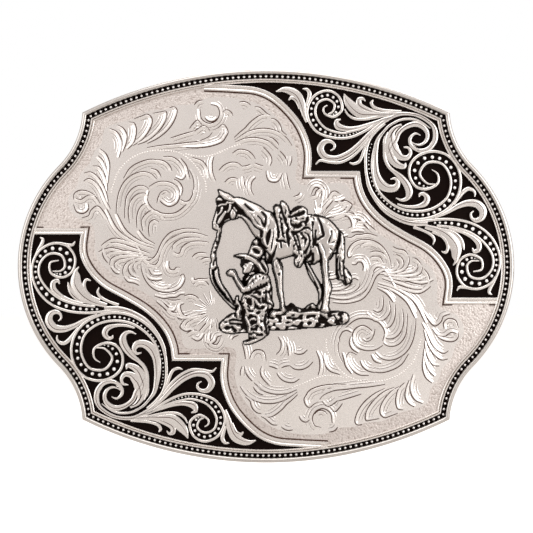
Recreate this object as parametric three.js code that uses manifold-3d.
// A western trophy belt buckle, in millimetres.
//
// X runs across the front towards the right, Z is up and the front faces -Y. The plate is bowed
// round the waist and slightly domed, so every layer is a slice of one shell: a grid of flat
// cells on the curved back face, moved forward by its own depth and cut to its own outline.
// Depths are measured forward from the back face. The origin is the middle of the back face,
// on the shell's flat centre cell.

import * as THREE from "three";
import { mergeVertices } from "three/addons/utils/BufferGeometryUtils.js";
import Module from "manifold-3d";

const wasm = await Module();
wasm.setup();

// ---------------------------------------------------------------- driving dimensions

// Outline: a shallow arc above and below, a round end each side, and a concave sweep that joins
// them and meets the shallow arc in a point.
const halfWidth = 52.5;
const halfHeight = 41.3;
const drawnTopRadius = 88.6;
const sideRadius = 30;
const sweepRadius = 17;
const cornerInset = 13.75;

// Shell
const bowRadius = 220;
const domeRadius = 420;
const gridColumns = 15;
const gridRows = 7;
const gridMargin = 2;

// Border, from the edge inwards
const rimWidth = 0.95;
const channelWidth = 0.95;
const ridgeWidth = 0.9;
const beadPitch = 1.16;
const beadHalfWidth = 0.36;
const neckHalfWidth = 0.15;

// Thicknesses of the layers
const plateThickness = 1.3;
const seatGap = 0.1;
const rimRise = 1.6;
const channelFloor = 0.4;
const beadRise = 0.7;
const neckRise = 0.35;
const ridgeRise = 1.35;
const panelThickness = 0.85;
const bandHalfWidth = 0.8;
const bandThickness = 1.25;
const enamelThickness = 0.4;
const scrollThickness = 0.7;
const figureFar = 1.1;
const figureMiddle = 1.9;
const figureNear = 2.7;

// Belt and the hardware behind the plate
const beltWidth = 38;
const beltPlay = 2;
const beltThroat = 5.6;
const padThickness = 0.9;
const wireRadius = 1.5;
const boreClearance = 0.1;
const tubeWall = 0.8;
const wireInsert = 8;
const hingeInset = 24.5;
const bailReach = 13;
const bailRestAngle = 6;
const innerBend = 3;
const outerBend = 4.5;
const bendToTube = 0.6;
const padOverhang = 1.2;
const hookInset = 17;
const hookRadius = 1.9;
const hookBend = 3.8;
const hookTipLength = 4.4;
const hookPadHalfWidth = 3.1;
const hookPadHalfHeight = 5;

// The artwork below is drawn for this half width and half height, and follows the plate.
const drawnHalfWidth = 52.5;
const drawnHalfHeight = 41.3;
const artScaleX = halfWidth / drawnHalfWidth;
const artScaleZ = halfHeight / drawnHalfHeight;
const figureScale = Math.min(artScaleX, artScaleZ);
const scrollScale = Math.max(artScaleX, artScaleZ);
// A wider or lower plate has a flatter top, so that the artwork stays inside the border.
const topRadius = (drawnTopRadius * artScaleX ** 2) / artScaleZ;

// Depth of each layer's underside and top
const plateFront = plateThickness;
const seat = plateFront + seatGap;
const panelFront = seat + panelThickness;
const enamelFront = seat + enamelThickness;
const channelFront = seat + channelFloor;

// ---------------------------------------------------------------- the shell

const shellHalfX = halfWidth + gridMargin;
const shellHalfZ = halfHeight + gridMargin;
const cellX = (2 * shellHalfX) / gridColumns;
const cellZ = (2 * shellHalfZ) / gridRows;
const curve = (x, z) => (x * x) / (2 * bowRadius) + (z * z) / (2 * domeRadius);
const centreCell = curve(cellX / 2, cellZ / 2);

function nodeY(across, row) {
  return curve(across * cellX - shellHalfX, row * cellZ - shellHalfZ) - centreCell;
}

// The back face at any point: the same flat triangles that the layers are made of.
function backY(x, z) {
  const acrossX = (x + shellHalfX) / cellX;
  const acrossZ = (z + shellHalfZ) / cellZ;
  const across = Math.min(Math.max(Math.floor(acrossX), 0), gridColumns - 1);
  const row = Math.min(Math.max(Math.floor(acrossZ), 0), gridRows - 1);
  const u = acrossX - across;
  const v = acrossZ - row;
  const low = nodeY(across, row);
  const high = nodeY(across + 1, row + 1);
  if (u > v) {
    const beside = nodeY(across + 1, row);
    return low + u * (beside - low) + v * (high - beside);
  }
  const above = nodeY(across, row + 1);
  return low + v * (above - low) + u * (high - above);
}

// ---------------------------------------------------------------- solids

function meshGeometry(positions, triangles) {
  const geometry = new THREE.BufferGeometry();
  geometry.setAttribute("position", new THREE.Float32BufferAttribute(positions, 3));
  geometry.setIndex(triangles);
  return geometry;
}

function toSolid(geometry) {
  geometry.deleteAttribute("normal");
  geometry.deleteAttribute("uv");
  const merged = mergeVertices(geometry, 1e-4);
  const vertProperties = Float32Array.from(merged.attributes.position.array);
  const triVerts = Uint32Array.from(merged.index.array);
  return new wasm.Manifold(new wasm.Mesh({ numProp: 3, vertProperties, triVerts }));
}

function toGeometry(solid) {
  const mesh = solid.getMesh();
  return meshGeometry(mesh.vertProperties, Array.from(mesh.triVerts));
}

function joinAll(solids) {
  return solids.reduce((whole, next) => whole.add(next));
}

// A slice of the shell between two depths.
function shell(backDepth, frontDepth) {
  const positions = [];
  const triangles = [];
  const perRow = gridColumns + 1;
  const perSheet = perRow * (gridRows + 1);
  for (const depth of [frontDepth, backDepth]) {
    for (let row = 0; row <= gridRows; row++) {
      for (let across = 0; across <= gridColumns; across++) {
        const x = across * cellX - shellHalfX;
        const z = row * cellZ - shellHalfZ;
        positions.push(x, nodeY(across, row) - depth, z);
      }
    }
  }
  for (let row = 0; row < gridRows; row++) {
    for (let across = 0; across < gridColumns; across++) {
      const a = row * perRow + across;
      const b = a + 1;
      const c = b + perRow;
      const d = a + perRow;
      triangles.push(a, b, c, a, c, d);
      triangles.push(a + perSheet, c + perSheet, b + perSheet);
      triangles.push(a + perSheet, d + perSheet, c + perSheet);
    }
  }
  const border = [];
  for (let across = 0; across < gridColumns; across++) border.push(across);
  for (let row = 0; row < gridRows; row++) border.push(row * perRow + gridColumns);
  for (let across = gridColumns; across > 0; across--) border.push(gridRows * perRow + across);
  for (let row = gridRows; row > 0; row--) border.push(row * perRow);
  border.forEach((a, index) => {
    const b = border[(index + 1) % border.length];
    triangles.push(a, a + perSheet, b + perSheet, a, b + perSheet, b);
  });
  return toSolid(meshGeometry(positions, triangles));
}

// A straight column of an outline in X and Z that runs along Y right through the buckle.
const columnDepth = 80;

function column(points) {
  const shape = new THREE.Shape(points.map(([x, z]) => new THREE.Vector2(x, z)));
  const geometry = new THREE.ExtrudeGeometry(shape, { depth: columnDepth, bevelEnabled: false });
  geometry.translate(0, 0, -columnDepth / 2);
  geometry.rotateX(Math.PI / 2);
  return toSolid(geometry);
}

const turned = (points) => points.map(([x, z, ...rest]) => [-x, -z, ...rest]);

// A smooth path through hand-set points [x, z, half width].
function smooth(points, perSpan) {
  const knots = points.map(([x, z, w = 0]) => new THREE.Vector3(x, z, w));
  const path = new THREE.CatmullRomCurve3(knots, false, "centripetal");
  return path.getPoints(perSpan * (points.length - 1)).map((p) => [p.x, p.y, p.z]);
}

// The two edges of a ribbon of varying width along a path, mitred at its corners.
function ribbonEdges(path) {
  const left = [];
  const right = [];
  path.forEach(([x, z, width], index) => {
    const before = path[Math.max(index - 1, 0)];
    const after = path[Math.min(index + 1, path.length - 1)];
    const into = new THREE.Vector2(x - before[0], z - before[1]).normalize();
    const out = new THREE.Vector2(after[0] - x, after[1] - z).normalize();
    const along = into.clone().add(out).normalize();
    const straight = into.lengthSq() === 0 || out.lengthSq() === 0;
    const mitre = straight ? 1 : 1 / Math.max(along.dot(out), 0.5);
    const reach = width * mitre;
    left.push([x - along.y * reach, z + along.x * reach]);
    right.push([x + along.y * reach, z - along.x * reach]);
  });
  return { left, right };
}

// A ribbon as a strip of quads that runs along Y right through the buckle.
function ribbonColumn(path) {
  const { left, right } = ribbonEdges(path);
  const positions = [];
  const triangles = [];
  left.forEach(([x, z], index) => {
    const [rightX, rightZ] = right[index];
    for (const y of [-columnDepth / 2, columnDepth / 2]) {
      positions.push(x, y, z, rightX, y, rightZ);
    }
  });
  const quad = (a, b, c, d) => triangles.push(a, b, c, a, c, d);
  for (let index = 0; index < left.length - 1; index++) {
    const a = index * 4;
    const b = a + 4;
    quad(a, a + 1, b + 1, b);
    quad(a + 2, b + 2, b + 3, a + 3);
    quad(a, b, b + 2, a + 2);
    quad(a + 1, a + 3, b + 3, b + 1);
  }
  const last = (left.length - 1) * 4;
  quad(0, 2, 3, 1);
  quad(last, last + 1, last + 3, last + 2);
  return toSolid(meshGeometry(positions, triangles));
}

// ---------------------------------------------------------------- outline

const sideCentre = [halfWidth - sideRadius, 0];
const topCentre = [0, halfHeight - topRadius];

function circlesMeet([ax, az], ra, [bx, bz], rb, side) {
  const gap = Math.hypot(bx - ax, bz - az);
  const along = (ra * ra - rb * rb + gap * gap) / (2 * gap);
  const across = side * Math.sqrt(ra * ra - along * along);
  const ux = (bx - ax) / gap;
  const uz = (bz - az) / gap;
  return [ax + ux * along - uz * across, az + uz * along + ux * across];
}

const cornerX = halfWidth - cornerInset;
const corner = [cornerX, topCentre[1] + Math.sqrt(topRadius ** 2 - cornerX ** 2)];
const sweepCentre = circlesMeet(sideCentre, sideRadius + sweepRadius, corner, sweepRadius, -1);
const topSteps = 9;
const sweepSteps = 4;
const sideSteps = 7;

function arcPoints([cx, cz], radius, from, to, steps) {
  const points = [];
  for (let step = 0; step < steps; step++) {
    const angle = from + ((to - from) * step) / steps;
    points.push([cx + radius * Math.cos(angle), cz + radius * Math.sin(angle)]);
  }
  return points;
}

const angleTo = ([cx, cz], [x, z]) => Math.atan2(z - cz, x - cx);

// The outline moved inwards by an inset, always with the same number of points.
function outline(inset) {
  const top = topRadius - inset;
  const sweep = sweepRadius + inset;
  const side = sideRadius - inset;
  const point = circlesMeet(topCentre, top, sweepCentre, sweep, 1);
  const joinAngle = angleTo(sideCentre, sweepCentre);
  const sweepStart = angleTo(sweepCentre, point) + 2 * Math.PI;
  const sweepEnd = joinAngle + Math.PI;
  const quarter = [
    ...arcPoints(topCentre, top, Math.PI / 2, angleTo(topCentre, point), topSteps),
    ...arcPoints(sweepCentre, sweep, sweepStart % (2 * Math.PI), sweepEnd, sweepSteps),
    ...arcPoints(sideCentre, side, joinAngle, 0, sideSteps),
  ];
  const tip = [sideCentre[0] + side, 0];
  const lower = quarter.slice(1).reverse().map(([x, z]) => [x, -z]);
  const rightHalf = [...quarter, tip, ...lower];
  const leftHalf = turned([...quarter, tip, ...lower]);
  return [...rightHalf, ...leftHalf];
}

const outlineColumn = (inset) => column([...outline(inset)].reverse());

// A closed band that follows the outline, with a section of [inset, depth] points.
function sweptBand(section) {
  const rings = section.map(([inset, depth]) =>
    outline(inset).map(([x, z]) => [x, backY(x, z) - depth, z]),
  );
  return loopedRings(rings);
}

// Joins rings of equal length into a closed torus-like skin.
function loopedRings(rings) {
  const count = rings[0].length;
  const positions = rings.flat(2);
  const triangles = [];
  rings.forEach((ring, index) => {
    const next = (index + 1) % rings.length;
    for (let station = 0; station < count; station++) {
      const after = (station + 1) % count;
      const a = index * count + station;
      const b = index * count + after;
      const c = next * count + after;
      const d = next * count + station;
      triangles.push(a, c, b, a, d, c);
    }
  });
  return meshGeometry(positions, triangles);
}

// ---------------------------------------------------------------- border pieces

function makeRim() {
  const inner = rimWidth - seatGap / 2;
  const shoulder = rimRise * 0.65;
  return sweptBand([
    [0, seat],
    [0, seat + shoulder],
    [rimWidth * 0.28, seat + rimRise],
    [rimWidth * 0.68, seat + rimRise],
    [inner, seat + shoulder],
    [inner, seat],
  ]);
}

function makeChannel() {
  const outer = rimWidth + seatGap / 2;
  const inner = rimWidth + channelWidth - seatGap / 2;
  return sweptBand([
    [outer, seat],
    [outer, channelFront],
    [inner, channelFront],
    [inner, seat],
  ]);
}

function makeRidge() {
  const outer = rimWidth + channelWidth + seatGap / 2;
  const inner = outer + ridgeWidth - seatGap;
  const shoulder = ridgeRise * 0.8;
  return sweptBand([
    [outer, seat],
    [outer, seat + shoulder],
    [(outer + inner) / 2, seat + ridgeRise],
    [inner, seat + shoulder],
    [inner, seat],
  ]);
}

// Evenly spaced points, with their inward normals, along the outline at one inset.
function evenPoints(inset, count) {
  const loop = outline(inset);
  const lengths = [0];
  loop.forEach(([x, z], index) => {
    const [nextX, nextZ] = loop[(index + 1) % loop.length];
    lengths.push(lengths[index] + Math.hypot(nextX - x, nextZ - z));
  });
  const total = lengths[loop.length];
  const points = [];
  let edge = 0;
  for (let step = 0; step < count; step++) {
    const target = (total * step) / count;
    while (lengths[edge + 1] < target) edge++;
    const share = (target - lengths[edge]) / (lengths[edge + 1] - lengths[edge]);
    const [ax, az] = loop[edge];
    const [bx, bz] = loop[(edge + 1) % loop.length];
    const span = Math.hypot(bx - ax, bz - az);
    const normal = [(bz - az) / span, -(bx - ax) / span];
    points.push({ x: ax + (bx - ax) * share, z: az + (bz - az) * share, normal });
  }
  return points;
}

function outlineLength(inset) {
  return outline(inset).reduce((sum, [x, z], index, loop) => {
    const [nextX, nextZ] = loop[(index + 1) % loop.length];
    return sum + Math.hypot(nextX - x, nextZ - z);
  }, 0);
}

// The bead wire: a fine wire that swells into a bead at every pitch.
function makeBeadWire() {
  const inset = rimWidth + channelWidth / 2;
  const beadCount = Math.round(outlineLength(inset) / beadPitch);
  const base = channelFront + seatGap;
  const stations = evenPoints(inset, beadCount * 2);
  const side = (sign, lifted) =>
    stations.map(({ x, z, normal }, index) => {
      const onBead = index % 2 === 0;
      const reach = sign * (onBead ? beadHalfWidth : neckHalfWidth);
      const lift = onBead ? beadRise : neckRise;
      const px = x + normal[0] * reach;
      const pz = z + normal[1] * reach;
      return [px, backY(px, pz) - base - (lifted ? lift : 0), pz];
    });
  return loopedRings([side(-1, false), side(0, true), side(1, false)]);
}

// ---------------------------------------------------------------- the front fields

const fitArt = (points, widthScale = figureScale) =>
  points.map(([x, z, w = 0]) => [x * artScaleX, z * artScaleZ, w * widthScale]);

// The middle line of the raised band that parts the upper right field from the panel: a sweep
// down from the top border, a step, a second sweep, and a short run out to the side border.
const firstSweep = [
  [-13, 38.6], [-7, 37.45], [-2, 36.95], [1.2, 35.45], [4.5, 32.6], [7, 29.35], [8.5, 25.7],
  [8.9, 23], [8.65, 19.25],
];
const secondSweep = [
  [19.1, 19.25], [19.4, 17], [20.4, 14.2], [22.3, 11.5], [25.2, 8.9], [29.3, 6.4], [33.8, 3.9],
  [36.1, 1.8], [37.7, -0.5], [38.45, -2.4], [38.6, -4.3], [38.2, -7.35],
];
const bandEnd = [[49, -7.35]];
const bandLine = fitArt([
  ...smooth(firstSweep, 2),
  ...smooth(secondSweep, 2),
  ...bandEnd,
]).map(([x, z]) => [x, z]);
const fieldInset = rimWidth + channelWidth + ridgeWidth + seatGap / 2;

function bandPath(extra) {
  return bandLine.map(([x, z]) => [x, z, bandHalfWidth + extra]);
}

function cornerField() {
  const far = 2 * halfWidth;
  const [endX, endZ] = bandLine[bandLine.length - 1];
  const [startX] = bandLine[0];
  return column([...bandLine, [far, endZ], [far, far], [startX, far]].reverse());
}

const half = (solid) => solid.rotate([0, 180, 0]);

function makeBand() {
  return shell(seat, seat + bandThickness)
    .intersect(ribbonColumn(bandPath(0)))
    .intersect(outlineColumn(fieldInset));
}

function makeEnamel() {
  return shell(seat, enamelFront)
    .intersect(outlineColumn(fieldInset))
    .intersect(cornerField())
    .subtract(ribbonColumn(bandPath(seatGap)));
}

function makePanel() {
  const cut = cornerField().add(ribbonColumn(bandPath(seatGap)));
  return shell(seat, panelFront)
    .intersect(outlineColumn(fieldInset))
    .subtract(cut)
    .subtract(half(cut));
}

// ---------------------------------------------------------------- scrollwork

// Middle lines [x, z, half width] of the upper right field's scrolls and leaves. They all meet,
// so the scrollwork is one pierced piece.
const scrollStrokes = [
  // left spiral
  [[25.5, 31, 0.9], [21.5, 28.7, 0.8], [17.6, 27.5, 0.7], [14, 27.5, 0.75], [11.3, 28.7, 0.9],
    [9.6, 31.2, 0.95], [9.8, 33.9, 0.9], [11.5, 35.7, 0.8], [13.5, 35.8, 0.75], [15.1, 34.8, 0.7],
    [15.2, 33.2, 0.65], [14, 32.1, 0.5], [12.9, 32.7, 0.4]],
  // leaves outside the left spiral
  [[9.2, 29.6, 0.7], [7.8, 33.3, 1.2], [6, 36, 1.2], [3, 37, 0.5]],
  [[25.5, 31.9, 0.9], [22, 32.2, 1.1], [19.6, 33, 1.3], [17.9, 34.6, 1], [16.7, 36, 0.3]],
  [[24.5, 30.6, 0.4], [20, 29.6, 0.5], [16.8, 29.2, 0.6], [15.2, 30.2, 0.4]],
  // fronds that hang from the junction
  [[24.6, 30.2, 0.6], [20.6, 26.4, 1], [17.2, 23.2, 1.1], [13.8, 22.5, 1], [11.9, 24, 0.7],
    [12.5, 25.6, 0.5]],
  [[22.4, 27.5, 0.4], [20.6, 24.6, 0.5], [18.9, 21.9, 0.4]],
  // main spiral
  [[26.4, 31.2, 1], [23.6, 27.8, 0.9], [22, 24.5, 0.8], [21.6, 20.9, 0.8], [22.6, 16.8, 0.85],
    [25, 13.5, 0.95], [28.4, 11.4, 1], [32, 10.8, 1.05], [36, 11.7, 1.15], [39, 14.3, 1.2],
    [40, 18, 1.2], [38.4, 21.2, 1.2], [35.2, 22.9, 1.1], [32.3, 21.6, 1], [31.3, 19.1, 0.9],
    [32.3, 17.1, 0.7], [34.4, 16.8, 0.55], [36, 18.2, 0.4]],
  // curl over the main spiral
  [[24.8, 31, 0.7], [29, 31.7, 0.7], [32.5, 31, 0.8], [34.9, 29.1, 0.7], [35.3, 26.8, 0.6],
    [33.8, 25.1, 0.5], [31.8, 25.2, 0.5], [31, 26.6, 0.4]],
  // leaves inside the main spiral
  [[25.2, 30.2, 0.6], [25.6, 26.5, 1.2], [27, 23.4, 1.2], [28.9, 22.1, 0.8], [30.2, 23.5, 0.4]],
  [[24.6, 29.6, 0.5], [23.4, 25.4, 0.7], [23.3, 20.5, 0.8], [24.7, 17.3, 1.1], [26.7, 17, 0.7]],
  [[25.1, 26.5, 0.6], [25.9, 21, 0.7], [28.5, 18, 0.8], [29.9, 15.6, 0.8], [28.6, 14.1, 0.4]],
  [[26.2, 12.4, 0.4], [30, 12.4, 0.6], [33.1, 13.3, 0.7], [33.2, 14.8, 0.4]],
  // stem and lower right spiral
  [[21.4, 18.4, 0.6], [23, 13.9, 0.7], [27, 10.1, 0.8], [32, 9, 0.8], [38, 9.1, 0.85],
    [42.8, 8, 0.9], [46.4, 5.6, 0.9], [48.4, 2, 0.85], [47.9, -1.2, 0.85], [45.9, -3.4, 0.8],
    [43.4, -3.6, 0.8], [41.5, -1.8, 0.8], [42, 0.8, 0.7], [44, 1.6, 0.55], [45, 0.4, 0.3]],
  // leaves on the lower right spiral
  [[34, 9.7, 0.5], [38.5, 11.1, 0.8], [42, 12.9, 1], [44.7, 12.4, 1], [45.2, 10.7, 0.6]],
  [[39, 11.9, 0.5], [41.5, 15.2, 0.8], [43.6, 16, 0.4]],
  [[32.5, 8.5, 0.7], [37.5, 7, 1.2], [39.3, 4.6, 1.4], [39.9, 1.8, 0.7]],
  [[30, 8.9, 0.6], [33.6, 7.1, 0.6], [35.1, 5.1, 0.3]],
];

function makeScroll() {
  const strokes = scrollStrokes.map((stroke) =>
    ribbonColumn(fitArt(smooth(stroke, 2), scrollScale)),
  );
  const base = enamelFront + seatGap;
  return shell(base, base + scrollThickness)
    .intersect(joinAll(strokes))
    .intersect(outlineColumn(fieldInset + seatGap))
    .intersect(cornerField())
    .subtract(ribbonColumn(bandPath(seatGap)));
}

// ---------------------------------------------------------------- cast figure

// A saddled horse with its head down, and a rider who kneels before it. Strokes are
// [x, z, half width]; each group stands forward of the panel by its own height.
const farStrokes = [
  // far legs and tail
  [[10.4, 3.4, 1], [9, 0.6, 0.7], [10.3, -2.4, 0.7], [11.5, -5, 0.6], [11.3, -8.8, 0.5]],
  [[14.6, 7.2, 0.9], [15.7, 3, 1], [15.5, -0.6, 1], [16.7, -3.4, 0.8]],
  // ground
  [[-1, -12, 1.3], [3, -11.4, 1.9], [8, -11.2, 1.9], [13, -11.2, 1.5], [16.6, -10.9, 0.9]],
  [[-9, -12.4, 0.9], [-7.2, -12, 1.8], [-3, -12.2, 1.6]],
  // reins
  [[-9.9, 8.8, 0.5], [-10.4, 4, 0.6], [-11.1, 0.6, 0.5], [-10.6, -2.6, 0.6], [-8.8, -5.9, 0.6],
    [-5.4, -8.9, 0.6]],
];
const middleStrokes = [
  // ears, head and cheek
  [[-9.8, 15.7, 0.5], [-8.8, 14.4, 1.3], [-8.9, 12, 1.5], [-9.8, 9.8, 1], [-10.2, 8.3, 0.7]],
  [[-6, 12.6, 1.2], [-6.7, 10.8, 1]],
  // near legs
  [[1, 4, 2.2], [1.9, 1, 1.3], [2.6, -2, 0.9], [3.1, -6, 0.5], [3.5, -9.8, 0.7]],
  [[12.6, 4, 2.3], [12.5, 0.8, 1.2], [12.6, -1.8, 0.8], [12.9, -4.6, 0.8], [12.4, -7, 0.6],
    [12.1, -9.8, 0.8]],
  // lifted foot
  [[-1.3, 6.4, 1], [-2.2, 4.2, 0.8], [-2.2, 2, 1.3]],
  // kneeling legs
  [[-3.8, -6.4, 1.2], [-4.6, -8.8, 1.3], [-2.6, -10.8, 1.3], [-1.8, -13.4, 1.1], [-3.4, -15.7, 0.5]],
  [[-1.4, -8.4, 1.6], [-0.6, -11.5, 1.4], [-1, -14.4, 0.7]],
];
const nearStrokes = [
  // neck, barrel and rump
  [[-7.6, 13.2, 1.4], [-5, 12.3, 1.9], [-1.6, 9.8, 2.6], [1.4, 7.4, 3], [6, 6.4, 3.4],
    [11, 6.6, 3.4], [13.8, 6.4, 2.2]],
  // saddle, blanket roll and stirrup
  [[3.1, 12.9, 0.5], [4, 10.4, 1], [5, 8.4, 1.4]],
  [[5.3, 10.9, 1.1], [8, 11.3, 1.2]],
  [[6.4, 6, 2.4], [7.4, 3.4, 1.9], [6.7, 0.4, 0.8]],
  // hat, head and back of the rider
  [[-6.2, 2, 0.25], [-3.4, 1.4, 0.9], [-1.3, 0.3, 1.1], [-0.1, -1.1, 0.8]],
  [[-3.9, 0.6, 1.2], [-3.5, -1.6, 1.4], [-1.6, -2.8, 1.4]],
  [[-1, -2.2, 1.3], [-0.8, -5, 1.8], [-1.8, -8.6, 2.2]],
  [[-1.2, -3.2, 1.1], [-4.4, -4.8, 0.9], [-5.6, -3.4, 0.8], [-7.2, -1.6, 0.9]],
];

function figureLayer(strokes, height) {
  const base = panelFront + seatGap;
  const columns = strokes.map((stroke) => {
    const drawn = smooth(stroke, 2);
    return ribbonColumn(drawn.map((point) => point.map((value) => value * figureScale)));
  });
  return shell(base, base + height).intersect(joinAll(columns));
}

function makeFigure() {
  return joinAll([
    figureLayer(farStrokes, figureFar),
    figureLayer(middleStrokes, figureMiddle),
    figureLayer(nearStrokes, figureNear),
  ]);
}

// ---------------------------------------------------------------- hardware behind the plate

const hingeX = halfWidth - hingeInset;
const hookX = hookInset - halfWidth;
const tubeRadius = wireRadius + boreClearance + tubeWall;
const bailHalfHeight = (beltWidth + beltPlay) / 2 + wireRadius;
const tubeHalf = bailHalfHeight - innerBend - bendToTube;
const padBack = -(seatGap + padThickness);
const padHalfWidth = tubeRadius + padOverhang;

// The highest point of a pad's back under a foot that reaches this far each way.
function padTop(x, halfX, halfZ) {
  const corners = [[-halfX, -halfZ], [halfX, -halfZ], [halfX, halfZ], [-halfX, halfZ]];
  const heights = corners.map(([dx, dz]) => backY(x + dx, dz));
  return Math.max(...heights) + seatGap + padThickness;
}

const hingeY = padTop(hingeX, padHalfWidth, tubeHalf) + seatGap + tubeRadius;

// A pad that follows the back face.
function makePad(x, halfX, halfZ) {
  const points = [[x - halfX, -halfZ], [x + halfX, -halfZ], [x + halfX, halfZ], [x - halfX, halfZ]];
  return shell(padBack, -seatGap).intersect(column(points));
}

function roundRod(radius, length, sides) {
  const geometry = new THREE.CylinderGeometry(radius, radius, length, sides);
  geometry.rotateX(Math.PI / 2);
  return geometry;
}

const rodSides = 16;

// The hinge tube, with a web below it that is shaped to the pad.
function makeTube() {
  const outer = roundRod(tubeRadius, 2 * tubeHalf, rodSides);
  outer.translate(hingeX, hingeY, 0);
  const webHeight = hingeY;
  const web = new THREE.BoxGeometry(1.3 * tubeRadius, webHeight, 2 * tubeHalf);
  web.translate(hingeX, hingeY - webHeight / 2, 0);
  const boreRadius = (wireRadius + boreClearance) / Math.cos(Math.PI / rodSides);
  const bore = roundRod(boreRadius, 4 * tubeHalf, rodSides);
  bore.translate(hingeX, hingeY, 0);
  return toSolid(outer)
    .add(toSolid(web))
    .subtract(shell(padBack - seatGap, columnDepth / 4))
    .subtract(toSolid(bore));
}

const circle = (radius, sides) => {
  const points = [];
  for (let index = 0; index < sides; index++) {
    const angle = (2 * Math.PI * index) / sides;
    points.push(new THREE.Vector2(radius * Math.cos(angle), radius * Math.sin(angle)));
  }
  return new THREE.Shape(points);
};

// A path of straight runs with rounded corners.
function roundedPath(corners, radii) {
  const path = new THREE.CurvePath();
  let from = corners[0];
  for (let index = 1; index < corners.length - 1; index++) {
    const at = corners[index];
    const before = corners[index - 1].clone().sub(at).normalize();
    const after = corners[index + 1].clone().sub(at).normalize();
    const start = at.clone().addScaledVector(before, radii[index - 1]);
    const end = at.clone().addScaledVector(after, radii[index - 1]);
    path.add(new THREE.LineCurve3(from, start));
    path.add(new THREE.QuadraticBezierCurve3(start, at, end));
    from = end;
  }
  path.add(new THREE.LineCurve3(from, corners[corners.length - 1]));
  return path;
}

// The bail: a wire loop whose ends turn into the tube from both sides.
function makeBail() {
  const angle = THREE.MathUtils.degToRad(bailRestAngle);
  const at = (reach, z) =>
    new THREE.Vector3(hingeX + reach * Math.cos(angle), hingeY + reach * Math.sin(angle), z);
  const insertZ = tubeHalf - wireInsert;
  const corners = [
    at(0, insertZ), at(0, bailHalfHeight), at(bailReach, bailHalfHeight),
    at(bailReach, -bailHalfHeight), at(0, -bailHalfHeight), at(0, -insertZ),
  ];
  const path = roundedPath(corners, [innerBend, outerBend, outerBend, innerBend]);
  return new THREE.ExtrudeGeometry(circle(wireRadius, 8), {
    steps: 66, extrudePath: path, bevelEnabled: false,
  });
}

// The hook rises from its pad and turns over towards the bail, so the belt's pull seats it.
function makeHook() {
  const footY = padTop(hookX, hookRadius, hookRadius) + seatGap;
  const tipX = hookX + hookBend + hookTipLength;
  const tipY = backY(tipX, 0) + beltThroat + hookRadius;
  const corners = [
    new THREE.Vector3(hookX, footY, 0),
    new THREE.Vector3(hookX, tipY, 0),
    new THREE.Vector3(tipX, tipY, 0),
  ];
  const path = roundedPath(corners, [hookBend]);
  const stem = new THREE.ExtrudeGeometry(circle(hookRadius, 12), {
    steps: 12, extrudePath: path, bevelEnabled: false,
  });
  const tip = new THREE.SphereGeometry(hookRadius, 12, 8);
  tip.translate(tipX, tipY, 0);
  return toSolid(stem).add(toSolid(tip));
}

// ---------------------------------------------------------------- finishes and assembly

const silver = { color: 0xd9d2ce, roughness: 0.28, metalness: 1 };
const brightSilver = { color: 0xe6e1dc, roughness: 0.16, metalness: 1 };
const rimSilver = { color: 0xbdb8b2, roughness: 0.2, metalness: 1 };
const castSilver = { color: 0xcfc6c0, roughness: 0.35, metalness: 1 };
const enamel = { color: 0x0f0806, roughness: 0.3, metalness: 0 };
const plateMetal = { color: 0xbfb8ae, roughness: 0.4, metalness: 1 };
const steel = { color: 0xb9b9b8, roughness: 0.32, metalness: 1 };

const buckle = new THREE.Group();

function place(name, shape, finish) {
  const geometry = shape.isBufferGeometry ? shape : toGeometry(shape);
  const mesh = new THREE.Mesh(geometry, new THREE.MeshStandardMaterial(finish));
  mesh.name = name;
  buckle.add(mesh);
}

const band = makeBand();
const field = makeEnamel();
const scroll = makeScroll();

place("base_plate", shell(0, plateFront).intersect(outlineColumn(0)), plateMetal);
place("outer_rim", makeRim(), rimSilver);
place("border_enamel", makeChannel(), enamel);
place("bead_wire", makeBeadWire(), brightSilver);
place("inner_ridge", makeRidge(), brightSilver);
place("engraved_panel", makePanel(), silver);
place("panel_band_upper", band, brightSilver);
place("panel_band_lower", half(band), brightSilver);
place("enamel_field_upper", field, enamel);
place("enamel_field_lower", half(field), enamel);
place("scroll_overlay_upper", scroll, brightSilver);
place("scroll_overlay_lower", half(scroll), brightSilver);
place("cast_figure", makeFigure(), castSilver);
place("hinge_pad", makePad(hingeX, padHalfWidth, tubeHalf), plateMetal);
place("hinge_tube", makeTube(), steel);
place("bail", makeBail(), steel);
place("hook_pad", makePad(hookX, hookPadHalfWidth, hookPadHalfHeight), plateMetal);
place("hook", makeHook(), steel);

export default buckle;
